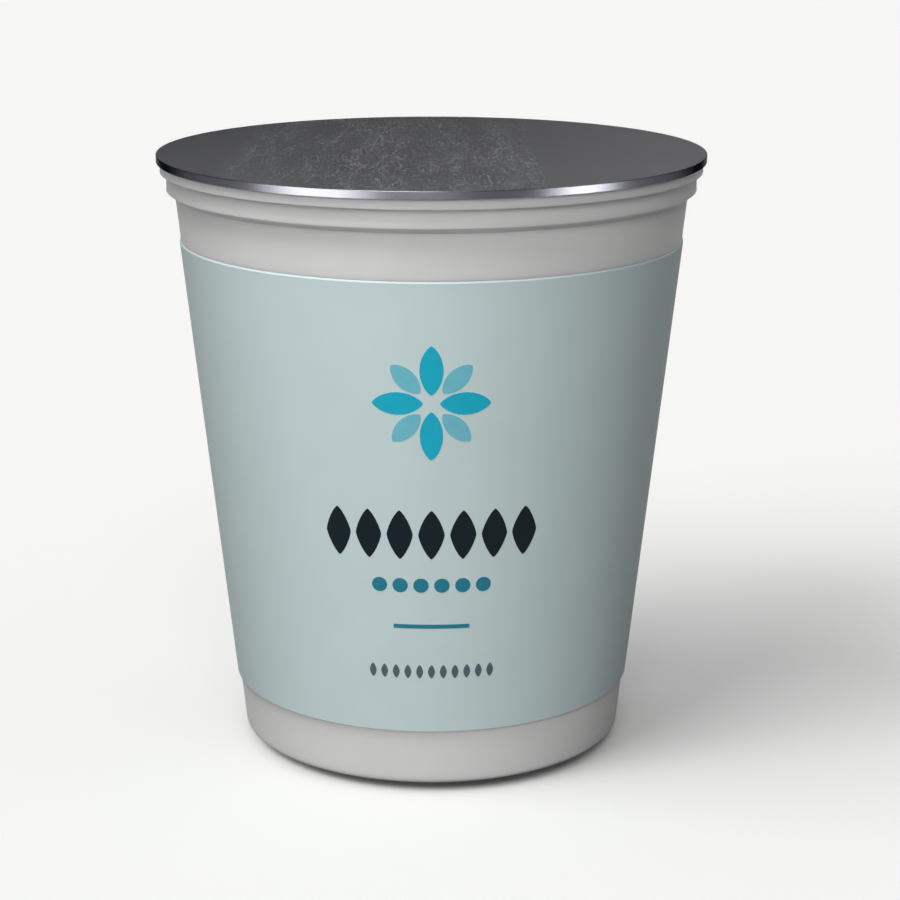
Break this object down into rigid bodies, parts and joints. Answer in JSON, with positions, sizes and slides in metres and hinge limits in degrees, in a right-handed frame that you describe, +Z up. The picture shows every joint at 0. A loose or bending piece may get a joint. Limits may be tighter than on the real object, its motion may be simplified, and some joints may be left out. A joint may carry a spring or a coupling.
{
  "type": "foil-lidded cup",
  "caption": "Tapered plastic food cup with a beaded rim, shut by a flat foil lid and wrapped in a pale teal label; stands on its foot ring.",
  "frame": {"origin": "middle of the foot ring, on the standing surface", "axes": "+Z up along the axis the cup is turned about; the front of the label faces -Y"},
  "size_m": [0.0962, 0.0962, 0.1067],
  "materials": {
    "cup_plastic": "moulded, satin",
    "label_film": "printed film, matt",
    "lid_foil": "rolled foil, dark satin with fine scuffs"
  },
  "bodies": {
    "root": {"cup": "cup_plastic", "label": "label_film", "foil_lid": "lid_foil"}
  },
  "joints": []
}
